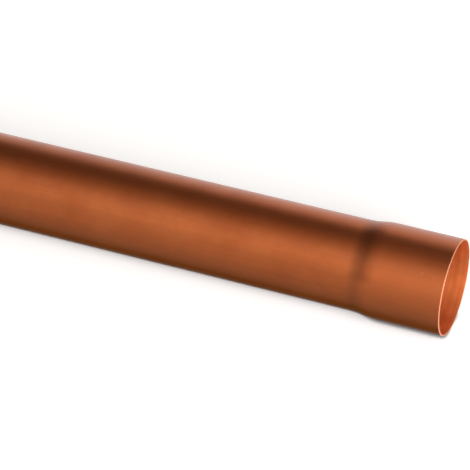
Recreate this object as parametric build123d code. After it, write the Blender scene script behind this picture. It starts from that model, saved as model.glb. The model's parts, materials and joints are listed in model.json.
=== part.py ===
from build123d import *
import os

# Copper downspout pipe: one drawn length of round pipe with a socket formed at one end.
# The pipe lies level along X. The socket's mouth faces +X and the plain cut end faces -X.
# The origin is on the floor, under the middle of the pipe's length.

# Driving dimensions in mm
PIPE_LENGTH = 1000.0  # over all, with the socket
BODY_DIAMETER = 76.0  # outside the body, which is also the plain end
WALL = 1.0  # thickness of the copper, the same all along
SOCKET_CLEARANCE = 1.3  # gap all round between the socket and the plain end pushed into it
SOCKET_DEPTH = 57.0  # straight part of the socket, from the mouth inwards
FLARE_LENGTH = 24.0  # S-shaped step between the body and the socket
EDGE_ROUNDING = 0.2  # deburred rims of both ends

# Radii, from the plain end outwards to the socket that takes it
body_radius = BODY_DIAMETER / 2
socket_bore_radius = body_radius + SOCKET_CLEARANCE
socket_radius = socket_bore_radius + WALL

# Stations along the pipe, from the plain end to the mouth
plain_end_x = -PIPE_LENGTH / 2
mouth_x = PIPE_LENGTH / 2
flare_end_x = mouth_x - SOCKET_DEPTH
flare_start_x = flare_end_x - FLARE_LENGTH

# The socket is the widest part, so the pipe's axis lies one socket radius above the floor
axis_height = socket_radius


def wall_section():
    """Section of the wall above the pipe's axis: its outer line, thickened inwards."""
    flare_middle = ((flare_start_x + flare_end_x) / 2, (body_radius + socket_radius) / 2)
    with BuildSketch(Plane.XZ) as section:
        with BuildLine():
            body = Line((plain_end_x, body_radius), (flare_start_x, body_radius))
            hollow_bend = TangentArc(body @ 1, flare_middle, tangent=body % 1)
            round_bend = TangentArc(flare_middle, (flare_end_x, socket_radius), tangent=hollow_bend % 1)
            Line(round_bend @ 1, (mouth_x, socket_radius))
            offset(amount=WALL, side=Side.RIGHT)
        make_face()
        ends = section.vertices().group_by(Axis.X)
        fillet(ends[0] + ends[-1], EDGE_ROUNDING)
    return section.sketch


def pipe():
    """The whole pipe, turned from its wall's section and laid on the floor."""
    return Pos(0, 0, axis_height) * revolve(wall_section(), Axis.X)


os.makedirs("parts", exist_ok=True)
export_step(pipe(), "parts/pipe.step")
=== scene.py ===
# %% [markdown]
# # A copper downspout pipe
#
# A downspout carries rain from the gutter to the ground. This one is a single length of round
# copper tube. One end is cut plain. The other end has been pushed over a steel plug, which widened
# it into a socket, so that the plain end of the next pipe slips into it.
#
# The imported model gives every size. This script makes a finer mesh of the same pipe, gives the
# metal its finish, and sets up a small studio around it.

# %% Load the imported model
import json
import math

import bmesh
import bpy
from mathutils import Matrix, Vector

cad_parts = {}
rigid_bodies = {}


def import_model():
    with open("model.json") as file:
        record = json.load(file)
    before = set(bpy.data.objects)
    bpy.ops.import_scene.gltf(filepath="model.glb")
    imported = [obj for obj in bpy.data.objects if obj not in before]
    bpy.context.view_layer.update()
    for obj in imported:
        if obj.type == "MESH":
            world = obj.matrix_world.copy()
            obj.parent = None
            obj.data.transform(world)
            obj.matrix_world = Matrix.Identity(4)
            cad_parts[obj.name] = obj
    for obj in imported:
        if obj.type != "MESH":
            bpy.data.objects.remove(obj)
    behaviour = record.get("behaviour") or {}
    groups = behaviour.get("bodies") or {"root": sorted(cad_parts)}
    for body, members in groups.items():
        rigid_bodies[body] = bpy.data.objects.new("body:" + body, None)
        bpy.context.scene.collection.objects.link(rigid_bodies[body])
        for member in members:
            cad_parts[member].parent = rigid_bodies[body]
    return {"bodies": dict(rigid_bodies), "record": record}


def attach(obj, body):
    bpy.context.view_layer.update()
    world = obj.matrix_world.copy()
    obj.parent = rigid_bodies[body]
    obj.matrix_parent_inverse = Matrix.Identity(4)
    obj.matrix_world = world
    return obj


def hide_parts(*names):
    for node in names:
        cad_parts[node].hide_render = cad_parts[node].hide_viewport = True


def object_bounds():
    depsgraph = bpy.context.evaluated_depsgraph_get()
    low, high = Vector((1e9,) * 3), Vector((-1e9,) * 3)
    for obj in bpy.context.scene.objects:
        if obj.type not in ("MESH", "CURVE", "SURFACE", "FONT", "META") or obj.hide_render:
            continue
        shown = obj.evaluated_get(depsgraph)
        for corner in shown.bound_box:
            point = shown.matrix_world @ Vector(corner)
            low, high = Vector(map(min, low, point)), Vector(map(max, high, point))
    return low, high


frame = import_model()
cad_low, cad_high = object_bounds()
MM = 0.001

# %% [markdown]
# ## Sizes
#
# The pipe is a body of revolution, so four radii and a few stations along its length describe it.
# They could be typed in again here, but then a change in the model would leave the picture behind.
# They are read from the model instead: the box gives both ends, and the three round mounts give
# the bore, the outside and the socket.

# %% Read the pipe's sizes from the model
mounts = {mount["name"]: mount for mount in frame["record"]["mounts"]}
plain_end_x, mouth_x = cad_low.x, cad_high.x
axis_height = mounts["socket"]["pos_m"][2]
bore_radius = mounts["passage"]["dims"]["r_mm"] * MM
body_radius = mounts["plain_end"]["dims"]["r_mm"] * MM
socket_bore_radius = mounts["socket"]["dims"]["r_mm"] * MM
wall = body_radius - bore_radius
socket_radius = socket_bore_radius + wall
edge_rounding = mouth_x - mounts["socket"]["pos_m"][0]
flare_end_x = mounts["socket"]["pos_m"][0] - mounts["socket"]["dims"]["length_mm"] * MM
flare_start_x = mounts["plain_end"]["pos_m"][0] + mounts["plain_end"]["dims"]["length_mm"] * MM
print(f"wall {wall / MM:.2f} mm, rim rounding {edge_rounding / MM:.2f} mm")
print(f"socket from x = {flare_end_x:.3f} m")

# %% [markdown]
# ## Camera
#
# The photograph looks down on the pipe from the front right, through a long lens, and its left
# edge cuts the pipe off. The long lens keeps the pipe's two edges almost parallel. The camera is
# placed by two angles and a distance from the point that it looks at, close to the pipe's axis.

# %% Place the camera
CAMERA_AZIMUTH = math.radians(21.353)
CAMERA_ELEVATION = math.radians(38.056)
CAMERA_DISTANCE = 2.2246
LENS_MM = 205.90
LOOK_AT = Vector((mouth_x - 0.1902, 0.0, axis_height - 0.0002))


def direction(azimuth, elevation):
    """Unit vector from the object towards a viewer at these angles."""
    return Vector((
        math.sin(azimuth) * math.cos(elevation),
        -math.cos(azimuth) * math.cos(elevation),
        math.sin(elevation),
    ))


camera = bpy.data.objects.new("camera", bpy.data.cameras.new("camera"))
camera.data.lens = LENS_MM
camera.data.clip_end = 50.0
towards_camera = direction(CAMERA_AZIMUTH, CAMERA_ELEVATION)
camera.location = LOOK_AT + towards_camera * CAMERA_DISTANCE
camera.rotation_mode = "QUATERNION"
camera.rotation_quaternion = (-towards_camera).to_track_quat("-Z", "Y")
bpy.context.collection.objects.link(camera)
bpy.context.scene.camera = camera
print("camera at", [round(v, 3) for v in camera.location])

# %% [markdown]
# ## The pipe's mesh
#
# The model's own mesh is made of flat facets that are fine for measuring, but a satin metal shows
# every facet as a stripe. A cylinder primitive would need its socket pulled out by hand. Spinning
# the wall's section once round the axis gives the whole pipe at once, inside and outside, with
# even quads that shade smoothly.
#
# The section needs few points. A straight stretch has one point at each end and a second one close
# by, which holds the smooth shading flat up to the bend. The step to the socket is two equal arcs,
# one hollow and one round.

# %% Draw the section of the wall
ARC_STEPS = 10
HOLDING_GAP = 0.7 * MM  # also the width of the filed band at each rim


def flare_points(depth):
    """Points along the step to the socket, as (x, radius), at a depth under the outer face."""
    run = flare_end_x - flare_start_x
    rise = socket_radius - body_radius
    arc_radius = (run ** 2 + rise ** 2) / (4 * rise)
    half_turn = 2 * math.atan(rise / run)
    hollow, round_ = [], []
    for step in range(ARC_STEPS + 1):
        turn = half_turn * step / ARC_STEPS
        sweep, lift = math.sin(turn), 1 - math.cos(turn)
        hollow.append((
            flare_start_x + (arc_radius + depth) * sweep,
            body_radius - depth + (arc_radius + depth) * lift,
        ))
        round_.append((
            flare_end_x - (arc_radius - depth) * sweep,
            socket_radius - depth - (arc_radius - depth) * lift,
        ))
    return hollow + round_[-2::-1]


def long_line(depth):
    """One face of the wall from the plain end to the mouth, as (x, radius)."""
    body_stations = (plain_end_x, plain_end_x + HOLDING_GAP, flare_start_x - HOLDING_GAP)
    socket_stations = (flare_end_x + HOLDING_GAP, mouth_x - HOLDING_GAP, mouth_x)
    body = [(x, body_radius - depth) for x in body_stations]
    socket = [(x, socket_radius - depth) for x in socket_stations]
    return body + flare_points(depth) + socket


section = long_line(0.0) + long_line(wall)[::-1]
print("section points:", len(section))

# %% Spin the section into a pipe
STEPS_ROUND = 192
RIM_SEGMENTS = 3
SHARP = math.radians(45)


def is_rim(edge):
    """A rim edge runs round the pipe where a flat cut end meets the wall's face."""
    ends = {round(vert.co.x, 6) for vert in edge.verts}
    on_cut = ends <= {round(plain_end_x, 6), round(mouth_x, 6)}
    return len(ends) == 1 and on_cut and edge.calc_face_angle() > SHARP


def spin_pipe():
    """The whole pipe as a mesh, with its rims rounded as the deburring tool leaves them."""
    shape = bmesh.new()
    points = [shape.verts.new((x, 0.0, axis_height + radius)) for x, radius in section]
    edges = [shape.edges.new((a, b)) for a, b in zip(points, points[1:] + points[:1])]
    bmesh.ops.spin(
        shape, geom=points + edges, axis=(1, 0, 0), cent=(0, 0, axis_height),
        angle=math.tau, steps=STEPS_ROUND, use_merge=True,
    )
    bmesh.ops.recalc_face_normals(shape, faces=shape.faces)
    rims = [edge for edge in shape.edges if is_rim(edge)]
    bmesh.ops.bevel(
        shape, geom=rims, offset=edge_rounding, affect="EDGES",
        segments=RIM_SEGMENTS, profile=0.5, material=-1,
    )
    mesh = bpy.data.meshes.new("pipe")
    shape.to_mesh(mesh)
    shape.free()
    return mesh


pipe = bpy.data.objects.new("copper_pipe", spin_pipe())
bpy.context.collection.objects.link(pipe)
pipe.data.shade_smooth()
print("pipe faces:", len(pipe.data.polygons))

# %% [markdown]
# ## Helpers for materials
#
# Colours are written as the hex values that a picture editor shows. Blender works in linear light,
# so one function turns them over. Another adds a node with its settings and inputs in one line,
# which keeps each material readable as a recipe. An input is a number, a hex colour or another
# node's output, and the inputs are given by name, or as a list in the node's own order.

# %% Colour and node helpers


def linear(hex_colour):
    """Linear RGBA of an sRGB hex colour."""
    channels = [int(hex_colour[i:i + 2], 16) / 255 for i in (1, 3, 5)]
    return [c / 12.92 if c <= 0.04045 else ((c + 0.055) / 1.055) ** 2.4 for c in channels] + [1.0]


def add_node(tree, kind, settings=None, inputs=()):
    """Adds a node with its settings, values and links."""
    node = tree.nodes.new(kind)
    for name, value in (settings or {}).items():
        setattr(node, name, value)
    for name, value in inputs.items() if isinstance(inputs, dict) else enumerate(inputs):
        if isinstance(value, bpy.types.NodeSocket):
            tree.links.new(value, node.inputs[name])
        else:
            node.inputs[name].default_value = linear(value) if isinstance(value, str) else value
    return node


def new_material(name):
    """An empty node material and its tree."""
    material = bpy.data.materials.new(name)
    material.use_nodes = True
    material.node_tree.nodes.clear()
    return material, material.node_tree


print("helpers ready, white is", linear("#ffffff"))

# %% [markdown]
# ## Copper, outside
#
# A downspout's copper has been drawn through a die, so fine lines run along it, and it has lain in
# a store for some weeks, so a thin brown oxide film dulls it to a satin. To the eye that is a deep
# orange metal with soft highlights, faint lengthwise streaks and cloudy patches where the film is
# thicker. The plug that widened the socket has rubbed it a little brighter, and has left faint
# rings round it. A dark ring at the hollow bend is partly film that stays there and partly painted
# shade that deepens the bend's dark reflection. The underside carries painted shade: its colour
# and its sheen grow darker towards the bottom, for the dark reflection of the shaded table under
# the pipe. The film shines a little on top.
#
# One flat orange with some roughness would look like plastic. Here each of these marks is a noise
# pattern of its own, at its real size, and each changes the colour and the roughness a little. The
# streaks are noise that is stretched along X. The real lines are about 0.1 mm apart, too fine for
# the render, so they are drawn about 0.8 mm apart. A mask says how strong each mark is at a place,
# and the colours are then laid over each other by these masks.

# %% Sizes of the marks on drawn copper
STREAK_SPACING = 0.8 * MM
STREAK_LENGTH = 90 * MM
CLOUD_SIZE = 38 * MM
BLOTCH_SIZE = 9 * MM
RING_SPACING = 1.6 * MM
SPECK_GAP = 24 * MM
SPECK_RADIUS = 0.5 * MM
ENDLESS = 400 * MM  # so long that a pattern doesn't change across the pipe
MIDDLE = (0.3, 0.7)  # the noise seldom leaves this span of its values


def marks(tree, size, detail=3.0):
    """Cloudy marks from 0 to 1, with their real sizes along X, Y and Z."""
    position = add_node(tree, "ShaderNodeTexCoord").outputs["Object"]
    scaled = add_node(tree, "ShaderNodeMapping", inputs={
        "Vector": position, "Scale": [1 / length for length in size],
    }).outputs["Vector"]
    return add_node(tree, "ShaderNodeTexNoise", inputs={
        "Vector": scaled, "Scale": 1.0, "Detail": detail, "Roughness": 0.6,
    }).outputs["Fac"]


print(f"streaks {STREAK_SPACING / MM:.1f} mm apart, rings {RING_SPACING / MM:.1f} mm apart")

# %% Draw the marks on the outside
drawn_copper, tree = new_material("drawn_copper_satin")
position = add_node(tree, "ShaderNodeTexCoord").outputs["Object"]
place = add_node(tree, "ShaderNodeSeparateXYZ", inputs=[position]).outputs
streaks = marks(tree, (STREAK_LENGTH, STREAK_SPACING, STREAK_SPACING))
clouds = marks(tree, (CLOUD_SIZE, CLOUD_SIZE, CLOUD_SIZE), 4.0)
blotches = marks(tree, (BLOTCH_SIZE, BLOTCH_SIZE, BLOTCH_SIZE))
rings = marks(tree, (RING_SPACING, ENDLESS, ENDLESS), 2.0)
specks = add_node(tree, "ShaderNodeTexVoronoi", inputs={
    "Vector": position, "Scale": 1 / SPECK_GAP,
}).outputs["Distance"]
print("marks drawn:", len(tree.nodes), "nodes")

# %% Say how strong each mark is, and where
SPECK_EDGE = SPECK_RADIUS / SPECK_GAP
# The ring at the hollow bend is partly film that stays there and partly painted shade that deepens
# the bend's dark reflection.
BEND_FILM_AND_SHADE_STARTS = (flare_start_x - 1 * MM, flare_start_x + 6 * MM)
BEND_FILM_AND_SHADE_ENDS = (flare_start_x + 8 * MM, flare_start_x + 17 * MM)
# Painted shade: the colour and the sheen grow darker towards the bottom of the pipe, for the dark
# reflection of the shaded table under it.
UNDERSIDE_SHADE_HEIGHTS = (26 * MM, 62 * MM)
COAT_HEIGHTS = (50 * MM, 78 * MM)
# Each row is a mask's name, the value that it reads, a span of that value, and the mask's strength
# at both ends of the span.
share = {}
for name, source, span, strengths in (
    ("film", clouds, MIDDLE, (0.0, 1.0)),
    ("streak_shade", streaks, MIDDLE, (0.94, 1.05)),
    ("blotch_shade", blotches, MIDDLE, (0.97, 1.03)),
    ("cloud_roughness", clouds, MIDDLE, (0.14, 0.18)),
    ("streak_roughness", streaks, MIDDLE, (0.14, 0.18)),
    ("specks", specks, (0.6 * SPECK_EDGE, SPECK_EDGE), (0.7, 0.0)),
    ("socket", place["X"], (flare_start_x, flare_end_x), (0.0, 1.0)),
    ("bend_start", place["X"], BEND_FILM_AND_SHADE_STARTS, (0.0, 0.24)),
    ("bend_end", place["X"], BEND_FILM_AND_SHADE_ENDS, (1.0, 0.0)),
    ("underside_shade", place["Z"], UNDERSIDE_SHADE_HEIGHTS, (0.66, 0.0)),
    ("coat", place["Z"], COAT_HEIGHTS, (0.0, 0.16)),
):
    share[name] = add_node(
        tree, "ShaderNodeMapRange", inputs=[source, *span, *strengths]
    ).outputs[0]
for name, operation, first, second in (
    ("shade", "MULTIPLY", share["streak_shade"], share["blotch_shade"]),
    ("roughness", "ADD", share["cloud_roughness"], share["streak_roughness"]),
    ("bend_film_and_shade", "MULTIPLY", share["bend_start"], share["bend_end"]),
    ("ridges", "MULTIPLY", rings, share["socket"]),
):
    share[name] = add_node(
        tree, "ShaderNodeMath", {"operation": operation}, [first, second]
    ).outputs[0]
print("shares:", list(share))

# %% Lay the colours over each other
DRAWN = "#a85a31"
FILM = "#9c4f29"
BURNISHED = "#a3552e"
SPECK = "#e0a688"
# The dark colour of the painted shade on the underside, and of the film and painted shade at the
# bend.
PAINTED_SHADE_AND_FILM = "#3a2c20"

colour = DRAWN
for part, layer, how in (
    (share["film"], FILM, "MIX"),
    (share["socket"], BURNISHED, "MIX"),
    (1.0, share["shade"], "MULTIPLY"),
    (share["specks"], SPECK, "MIX"),
    (share["bend_film_and_shade"], PAINTED_SHADE_AND_FILM, "MIX"),
    (share["underside_shade"], PAINTED_SHADE_AND_FILM, "MIX"),
):
    colour = add_node(  # inputs 0, 6 and 7 are the factor and the colours A and B
        tree, "ShaderNodeMix", {"data_type": "RGBA", "blend_type": how},
        {0: part, 6: colour, 7: layer},
    ).outputs[2]
print("colours laid:", len(tree.nodes), "nodes")

# %% Make the outside copper
# Towards the bottom the sheen is dulled by the same mask, a painted shade on the underside's
# reflections.
BRIGHT_SHEEN = "#ffffff"
UNDERSIDE_SHADED_SHEEN = "#776656"
sheen = add_node(
    tree, "ShaderNodeMix", {"data_type": "RGBA"},
    {0: share["underside_shade"], 6: BRIGHT_SHEEN, 7: UNDERSIDE_SHADED_SHEEN},
).outputs[2]
height = add_node(
    tree, "ShaderNodeMath", {"operation": "ADD"}, [streaks, share["ridges"]]
).outputs[0]
relief = add_node(tree, "ShaderNodeBump", inputs={
    "Strength": 0.35, "Distance": 0.02 * MM, "Height": height,
}).outputs["Normal"]
surface = add_node(tree, "ShaderNodeBsdfPrincipled", inputs={
    "Base Color": colour,
    "Metallic": 1.0,
    "Roughness": share["roughness"],
    "Normal": relief,
    "Specular Tint": sheen,
    "Coat Weight": share["coat"],
    "Coat Roughness": 0.3,
}).outputs["BSDF"]
add_node(tree, "ShaderNodeOutputMaterial", inputs={"Surface": surface})
pipe.data.materials.append(drawn_copper)
print("outside:", drawn_copper.name)

# %% [markdown]
# ## Copper, inside and at the cut
#
# Nothing polishes the inside. The drawing oil has dried there to a dull orange surface that
# scatters the light, so its material is a rough metal with a little matt in it. The plug's rings
# show there too. The rims are bare metal: the file that took off the burr has left a matt, pinkish
# band 0.7 mm wide beside each cut. To the eye that is the pale line that draws the mouth.

# %% Make the inside and the filed edges
INSIDE = "#e4854a"
INSIDE_DARK = "#cd6c38"
FILED = "#e39c78"
FILED_DARK = "#cf8560"
FILE_GRAIN = 0.6 * MM


def matt_copper(name, light, dark, size, metallic, roughness):
    """Copper that scatters light, with marks of one size in it."""
    material, tree = new_material(name)
    grain = marks(tree, size, 2.0)
    blotches = marks(tree, (BLOTCH_SIZE, BLOTCH_SIZE, BLOTCH_SIZE))
    dark_share, shade, dullness = [
        add_node(tree, "ShaderNodeMapRange", inputs=[source, *MIDDLE, *strengths]).outputs[0]
        for source, strengths in (
            (grain, (0.0, 1.0)), (blotches, (0.94, 1.04)), (blotches, roughness),
        )
    ]
    colour = light
    for part, layer, how in ((dark_share, dark, "MIX"), (1.0, shade, "MULTIPLY")):
        colour = add_node(
            tree, "ShaderNodeMix", {"data_type": "RGBA", "blend_type": how},
            {0: part, 6: colour, 7: layer},
        ).outputs[2]
    relief = add_node(tree, "ShaderNodeBump", inputs={
        "Strength": 0.4, "Distance": 0.03 * MM, "Height": grain,
    }).outputs["Normal"]
    surface = add_node(tree, "ShaderNodeBsdfPrincipled", inputs={
        "Base Color": colour, "Metallic": metallic, "Roughness": dullness, "Normal": relief,
    }).outputs["BSDF"]
    add_node(tree, "ShaderNodeOutputMaterial", inputs={"Surface": surface})
    return material


pipe.data.materials.append(matt_copper(
    "oiled_copper_inside", INSIDE, INSIDE_DARK, (RING_SPACING, ENDLESS, ENDLESS),
    metallic=0.85, roughness=(0.51, 0.61),
))
pipe.data.materials.append(matt_copper(
    "filed_copper_edge", FILED, FILED_DARK, (FILE_GRAIN, FILE_GRAIN, FILE_GRAIN),
    metallic=0.5, roughness=(0.45, 0.55),
))
print("finishes:", [material.name for material in pipe.data.materials])

# %% Give each face its finish
OUTSIDE_FINISH, INSIDE_FINISH, FILED_FINISH = 0, 1, 2
for face in pipe.data.polygons:
    outwards = Vector((0.0, face.center.y, face.center.z - axis_height)).normalized()
    from_end = min(mouth_x - face.center.x, face.center.x - plain_end_x)
    if face.normal.dot(outwards) < -0.5:
        face.material_index = INSIDE_FINISH
    elif from_end < HOLDING_GAP:
        face.material_index = FILED_FINISH
    else:
        face.material_index = OUTSIDE_FINISH
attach(pipe, "root" if "root" in frame["bodies"] else list(frame["bodies"])[0])
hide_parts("pipe")
finishes = [face.material_index for face in pipe.data.polygons]
print("faces by finish:", [finishes.count(finish) for finish in sorted(set(finishes))])

# %% [markdown]
# ## Studio
#
# Metal shows little of its own: most of what the eye sees is its surroundings. The pipe lies on a
# white table in a light tent. The tent's front wall gives the long soft highlight, the gap above
# gives the dark band over it, and the back wall gives the pale band along the top edge. The tent
# is the world's colour, worked out from the direction: one angle round the pipe's axis picks the
# brightness from a ramp, and the direction's X makes the tent darker towards the plain end.

# %% Choose the tent's brightness
WHITE_CLOTH = "#ffffff"
WARM_GAP = "#fff1e0"
# Each stop is a share of the way from the front over the top to the back, and the brightness and
# colour there.
TENT = [
    (0.0, 1.10, WHITE_CLOTH),
    (0.06, 1.25, WHITE_CLOTH),
    (0.12, 1.36, WHITE_CLOTH),
    (0.23, 1.38, WHITE_CLOTH),
    (0.33, 1.15, WHITE_CLOTH),
    (0.40, 0.76, WARM_GAP),
    (0.50, 0.42, WARM_GAP),
    (0.60, 0.20, WARM_GAP),
    (0.75, 0.20, WARM_GAP),
    (0.82, 0.80, WHITE_CLOTH),
    (0.90, 1.10, WHITE_CLOTH),
    (1.0, 1.15, WHITE_CLOTH),
]
# The same, by the share of the way from the plain end's side to the mouth's side.
TENT_ALONG = [
    (0.0, 0.90, WHITE_CLOTH),
    (0.08, 0.80, WHITE_CLOTH),
    (0.15, 0.30, WHITE_CLOTH),
    (0.425, 1.28, WHITE_CLOTH),
    (0.50, 1.28, WHITE_CLOTH),
    (0.75, 0.70, WHITE_CLOTH),
    (1.0, 0.70, WHITE_CLOTH),
]
print("tent:", len(TENT), "stops round the pipe,", len(TENT_ALONG), "along it")

# %% Measure directions in the tent
world = bpy.data.worlds.new("light_tent")
bpy.context.scene.world = world
world.use_nodes = True
tree = world.node_tree
tree.nodes.clear()
where = add_node(tree, "ShaderNodeTexCoord").outputs["Generated"]
axes = add_node(tree, "ShaderNodeSeparateXYZ", inputs=[where]).outputs
front = add_node(tree, "ShaderNodeMath", {"operation": "MULTIPLY"}, [axes["Y"], -1.0]).outputs[0]
angle = add_node(tree, "ShaderNodeMath", {"operation": "ARCTAN2"}, [axes["Z"], front]).outputs[0]
over = add_node(tree, "ShaderNodeMath", {"operation": "DIVIDE"}, [angle, math.pi]).outputs[0]
along = add_node(tree, "ShaderNodeMapRange", inputs=[axes["X"], -1.0, 1.0, 0.0, 1.0]).outputs[0]
print("directions measured")

# %% Slope the back wall's top edge
# It comes down towards the plain end, so the pale band on the pipe narrows that way.
BACK_SLOPE = 0.5
BACK_FROM = (0.60, 0.72)
SLOPE_ALONG = (-0.42, -0.18)
SLOPE_SHIFT = (-0.12, 0.12)
at_back = add_node(tree, "ShaderNodeMapRange", inputs=[over, *BACK_FROM, 0.0, BACK_SLOPE])
shift = add_node(tree, "ShaderNodeMapRange", inputs=[axes["X"], *SLOPE_ALONG, *SLOPE_SHIFT])
sloped = add_node(
    tree, "ShaderNodeMath", {"operation": "MULTIPLY_ADD"},
    [at_back.outputs[0], shift.outputs[0], over],
).outputs[0]
print("slope set")

# %% Light the tent
# A ramp holds no colour above 1, so each is scaled to its brightest stop, and the world's strength
# makes up for it.
strength = 1.0
cloths = []
for source, stops in ((sloped, TENT), (along, TENT_ALONG)):
    brightest = max(level for _, level, _ in stops)
    strength *= brightest
    ramp = add_node(tree, "ShaderNodeValToRGB", inputs=[source])
    elements = ramp.color_ramp.elements
    while len(elements) < len(stops):
        elements.new(0.5)
    for element, (position, level, cloth) in zip(elements, stops):
        element.position = position
        element.color = [level / brightest * channel for channel in linear(cloth)[:3]] + [1.0]
    cloths.append(ramp.outputs["Color"])
tent_colour = add_node(
    tree, "ShaderNodeMix", {"data_type": "RGBA", "blend_type": "MULTIPLY"},
    {0: 1.0, 6: cloths[0], 7: cloths[1]},
).outputs[2]
tent_light = add_node(
    tree, "ShaderNodeBackground", inputs={"Color": tent_colour, "Strength": strength}
).outputs["Background"]
add_node(tree, "ShaderNodeOutputWorld", inputs={"Surface": tent_light})
print("tent strength:", round(strength, 3))

# %% [markdown]
# ## Lamps
#
# The tent alone leaves the inside of the socket dark. Two large soft lamps stand beyond the mouth
# on the camera's side. The high one lights the table and throws the shadow behind the pipe, mostly
# out of the camera's sight. The low one shines into the mouth, on the wall that faces the camera.

# %% Hang the lamps
LAMP_SIZE = 1.9
LAMP_DISTANCE = 3.5
LAMPS = [("high_lamp", (0.56, -0.60, 0.57), 70.0), ("low_lamp", (0.62, -0.70, 0.34), 60.0)]
for name, side, watts in LAMPS:
    lamp_side = Vector(side).normalized()
    lamp = bpy.data.objects.new(name, bpy.data.lights.new(name, "AREA"))
    lamp.data.shape = "SQUARE"
    lamp.data.size = LAMP_SIZE
    lamp.data.energy = watts
    lamp.location = Vector((mouth_x, 0.0, axis_height)) + lamp_side * LAMP_DISTANCE
    lamp.rotation_mode = "QUATERNION"
    lamp.rotation_quaternion = (-lamp_side).to_track_quat("-Z", "Y")
    bpy.context.collection.objects.link(lamp)
    print(name, "at", [round(v, 2) for v in lamp.location])

# %% [markdown]
# ## Table
#
# The photograph's ground is pure white. Paper alone comes out grey in a picture that isn't
# overexposed, so this paper glows a little. The glow fades close to the pipe, where little light
# reaches the paper, and so the dark line under the pipe stays.

# %% Lay the white table
TABLE_HALF = 10.0
sheet = bmesh.new()
bmesh.ops.create_grid(sheet, x_segments=1, y_segments=1, size=TABLE_HALF)
table_mesh = bpy.data.meshes.new("table")
sheet.to_mesh(table_mesh)
sheet.free()
table = bpy.data.objects.new("table", table_mesh)
bpy.context.collection.objects.link(table)
print("table:", 2 * TABLE_HALF, "m wide")

# %% Cover it with white paper
GLOW = 0.25
SHADE_REACH = 5 * MM
WHITE_PAPER = "#f4f4f4"
# The paper's colour close to the pipe, a painted contact shadow.
PAINTED_SHADOW_PAPER = "#1c1410"
SHADED_TO_LIT = (0.3, 0.85)
paper, tree = new_material("white_paper")
rays = add_node(tree, "ShaderNodeLightPath").outputs
open_sky = add_node(
    tree, "ShaderNodeAmbientOcclusion", {"samples": 16}, {"Distance": SHADE_REACH}
).outputs["AO"]
glow = rays["Is Camera Ray"]
for operation, value in (
    ("ADD", rays["Is Glossy Ray"]),
    ("ADD", rays["Is Transmission Ray"]),
    ("MINIMUM", 1.0),
    ("MULTIPLY", open_sky),
    ("MULTIPLY", GLOW),
):
    glow = add_node(tree, "ShaderNodeMath", {"operation": operation}, [glow, value]).outputs[0]
# Close to the pipe the paper's colour itself turns dark: a painted contact shadow, which the
# pipe's underside also reflects.
lit = add_node(
    tree, "ShaderNodeMapRange", inputs=[open_sky, *SHADED_TO_LIT, 0.0, 1.0]
).outputs[0]
paper_colour = add_node(
    tree, "ShaderNodeMix", {"data_type": "RGBA"}, {0: lit, 6: PAINTED_SHADOW_PAPER, 7: WHITE_PAPER}
).outputs[2]
surface = add_node(tree, "ShaderNodeBsdfPrincipled", inputs={
    "Base Color": paper_colour,
    "Roughness": 1.0,
    "Specular IOR Level": 0.0,
    "Emission Color": "#ffffff",
    "Emission Strength": glow,
}).outputs["BSDF"]
add_node(tree, "ShaderNodeOutputMaterial", inputs={"Surface": surface})
table.data.materials.append(paper)
bpy.context.scene.view_settings.view_transform = "Standard"
print("paper laid, glow", GLOW)
